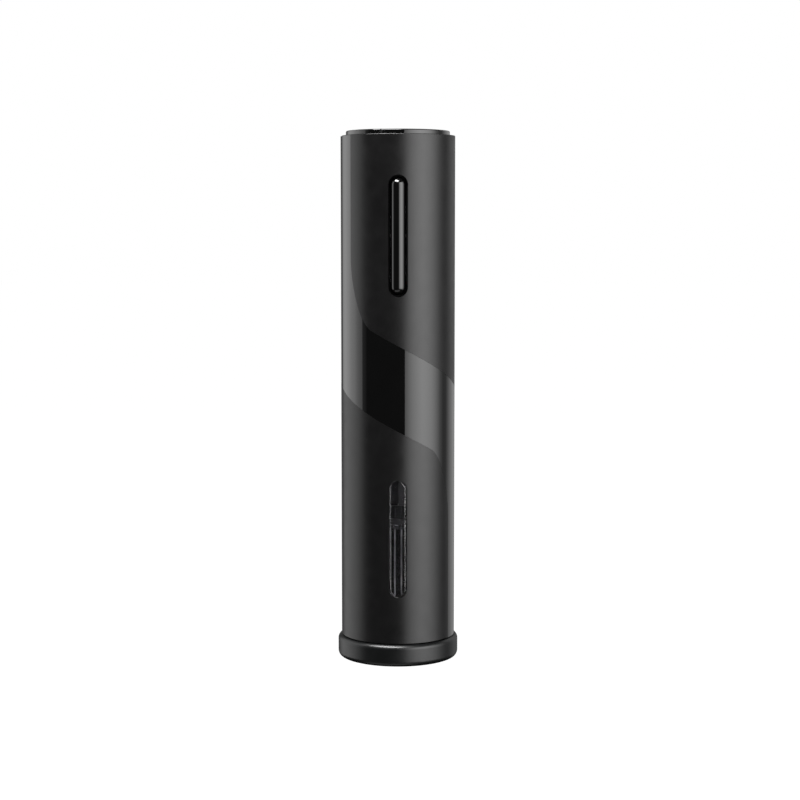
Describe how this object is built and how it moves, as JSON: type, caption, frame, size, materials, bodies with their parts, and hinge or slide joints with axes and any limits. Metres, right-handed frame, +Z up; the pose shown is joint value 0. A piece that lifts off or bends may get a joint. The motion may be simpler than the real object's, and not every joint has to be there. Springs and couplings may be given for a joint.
{
  "type": "electric wine opener",
  "caption": "Tall black cylindrical cordless corkscrew with rocker switch, cork window, gloss ribbon and a foil-cutter base.",
  "frame": {"origin": "centre of the flat underside of the foil-cutter base", "axes": "+Z up along the tube, -Y towards the rocker switch and window, +X to the viewer's right"},
  "size_m": [0.0532, 0.0532, 0.2315],
  "materials": {
    "satin_body": "satin soft-touch black",
    "satin_base": "fine matte moulded black",
    "gloss_trim": "polished piano black",
    "gloss_button": "polished black",
    "smoked_lens": "clear smoked plastic",
    "clear_guide": "smoked translucent plastic",
    "inner_black": "moulded black",
    "chassis_grey": "moulded dark grey",
    "gear_white": "natural acetal",
    "steel": "turned steel",
    "screw_steel": "zinc plated steel",
    "coated_steel": "dark non-stick coating on steel wire",
    "bronze": "sintered bronze and brass",
    "magnet": "ferrite",
    "winding": "laminations and copper winding",
    "switch_rubber": "silicone rubber",
    "board_green": "solder mask",
    "cell_body": "plain sleeved battery cell",
    "contact_spring": "nickel plated spring steel",
    "red_wire": "insulated wire",
    "black_wire": "insulated wire"
  },
  "bodies": {
    "housing": {"tube_shell": "satin_body", "gloss_band": "gloss_trim", "window_lens": "smoked_lens", "neck_guide": "clear_guide", "switch_bezel": "inner_black", "motor_end_cap": "inner_black", "battery_box": "inner_black", "cork_chamber": "chassis_grey", "bearing_plate": "chassis_grey", "chassis_left": "chassis_grey", "chassis_right": "chassis_grey", "ring_gear": "gear_white", "rocker_pin": "steel", "motor_plate": "steel", "motor_can": "steel", "gearbox_screw_1": "screw_steel", "gearbox_screw_2": "screw_steel", "gearbox_screw_3": "screw_steel", "motor_screw_1": "screw_steel", "motor_screw_2": "screw_steel", "chassis_screw_1": "screw_steel", "chassis_screw_2": "screw_steel", "output_bushing": "bronze", "motor_terminal_1": "bronze", "motor_terminal_2": "bronze", "motor_magnet": "magnet", "switch_pad": "switch_rubber", "circuit_board": "board_green", "cell_1": "cell_body", "cell_2": "cell_body", "cell_3": "cell_body", "cell_4": "cell_body", "contact_positive": "contact_spring", "contact_negative": "contact_spring", "contact_bridge_bottom": "contact_spring", "motor_lead_red": "red_wire", "motor_lead_black": "black_wire"},
    "rocker": {"rocker_button": "gloss_button"},
    "rotor": {"armature": "winding", "motor_pinion": "bronze"},
    "carrier_one": {"carrier_one": "steel"},
    "output": {"output_carrier": "steel", "worm_hub": "inner_black", "worm_spiral": "coated_steel"},
    "foil_cutter": {"cutter_ring": "satin_base", "cutter_cover": "inner_black"},
    "lid_contacts": {"lid_contact_plate": "inner_black", "contact_bridge_left": "contact_spring", "contact_bridge_right": "contact_spring"},
    "lid": {"battery_lid": "gloss_trim"},
    "planet_one_1": {"planet_one_1": "gear_white"},
    "planet_two_1": {"planet_two_1": "gear_white"},
    "planet_one_2": {"planet_one_2": "gear_white"},
    "planet_two_2": {"planet_two_2": "gear_white"},
    "planet_one_3": {"planet_one_3": "gear_white"},
    "planet_two_3": {"planet_two_3": "gear_white"},
    "cutter_wheel_1": {"cutter_wheel_1": "steel"},
    "cutter_wheel_2": {"cutter_wheel_2": "steel"},
    "cutter_wheel_3": {"cutter_wheel_3": "steel"},
    "cutter_wheel_4": {"cutter_wheel_4": "steel"}
  },
  "joints": [
    {"name": "rocker_tilt", "type": "hinge", "parent": "housing", "child": "rocker", "pos_m": [0, -0.0192, 0.1862], "axis": [1, 0, 0], "range_deg": [-3.5, 3.5], "stiffness_Nm_per_rad": 0.6, "deforming": ["switch_pad"]},
    {"name": "rotor_spin", "type": "hinge", "parent": "housing", "child": "rotor", "pos_m": [0, 0, 0.15], "axis": [0, 0, 1], "continuous": true},
    {"name": "carrier_spin", "type": "hinge", "parent": "housing", "child": "carrier_one", "pos_m": [0, 0, 0.1245], "axis": [0, 0, 1], "continuous": true},
    {"name": "worm_spin", "type": "hinge", "parent": "housing", "child": "output", "pos_m": [0, 0, 0.11], "axis": [0, 0, 1], "continuous": true},
    {"name": "planet_one_1_spin", "type": "hinge", "parent": "carrier_one", "child": "planet_one_1", "pos_m": [0.0102, 0, 0.1289], "axis": [0, 0, 1], "continuous": true},
    {"name": "planet_one_2_spin", "type": "hinge", "parent": "carrier_one", "child": "planet_one_2", "pos_m": [-0.0051, 0.00883, 0.1289], "axis": [0, 0, 1], "continuous": true},
    {"name": "planet_one_3_spin", "type": "hinge", "parent": "carrier_one", "child": "planet_one_3", "pos_m": [-0.0051, -0.00883, 0.1289], "axis": [0, 0, 1], "continuous": true},
    {"name": "planet_two_1_spin", "type": "hinge", "parent": "output", "child": "planet_two_1", "pos_m": [0.0102, 0, 0.1204], "axis": [0, 0, 1], "continuous": true},
    {"name": "planet_two_2_spin", "type": "hinge", "parent": "output", "child": "planet_two_2", "pos_m": [-0.0051, 0.00883, 0.1204], "axis": [0, 0, 1], "continuous": true},
    {"name": "planet_two_3_spin", "type": "hinge", "parent": "output", "child": "planet_two_3", "pos_m": [-0.0051, -0.00883, 0.1204], "axis": [0, 0, 1], "continuous": true},
    {"name": "cutter_pull", "type": "slide", "parent": "housing", "child": "foil_cutter", "axis": [0, 0, -1], "range_m": [0, 0.03]},
    {"name": "cutter_wheel_1_spin", "type": "hinge", "parent": "foil_cutter", "child": "cutter_wheel_1", "pos_m": [0.0185, 0, 0.0051], "axis": [0, 0, 1], "continuous": true},
    {"name": "cutter_wheel_2_spin", "type": "hinge", "parent": "foil_cutter", "child": "cutter_wheel_2", "pos_m": [0, 0.0185, 0.0051], "axis": [0, 0, 1], "continuous": true},
    {"name": "cutter_wheel_3_spin", "type": "hinge", "parent": "foil_cutter", "child": "cutter_wheel_3", "pos_m": [-0.0185, 0, 0.0051], "axis": [0, 0, 1], "continuous": true},
    {"name": "cutter_wheel_4_spin", "type": "hinge", "parent": "foil_cutter", "child": "cutter_wheel_4", "pos_m": [0, -0.0185, 0.0051], "axis": [0, 0, 1], "continuous": true},
    {"name": "lid_lift", "type": "slide", "parent": "housing", "child": "lid_contacts", "axis": [0, 0, 1], "range_m": [0, 0.00505]},
    {"name": "lid_turn", "type": "hinge", "parent": "lid_contacts", "child": "lid", "pos_m": [0, 0, 0.225], "axis": [0, 0, 1], "range_deg": [0, 75]}
  ],
  "couplings": [
    {"joint": "carrier_spin", "follows": "rotor_spin", "ratio": 0.16667},
    {"joint": "worm_spin", "follows": "rotor_spin", "ratio": 0.027778},
    {"joint": "planet_one_1_spin", "follows": "rotor_spin", "ratio": -0.41667},
    {"joint": "planet_one_2_spin", "follows": "rotor_spin", "ratio": -0.41667},
    {"joint": "planet_one_3_spin", "follows": "rotor_spin", "ratio": -0.41667},
    {"joint": "planet_two_1_spin", "follows": "rotor_spin", "ratio": -0.069444},
    {"joint": "planet_two_2_spin", "follows": "rotor_spin", "ratio": -0.069444},
    {"joint": "planet_two_3_spin", "follows": "rotor_spin", "ratio": -0.069444},
    {"joint": "lid_lift", "follows": "lid_turn", "m_per_rad": 0.0038197}
  ]
}
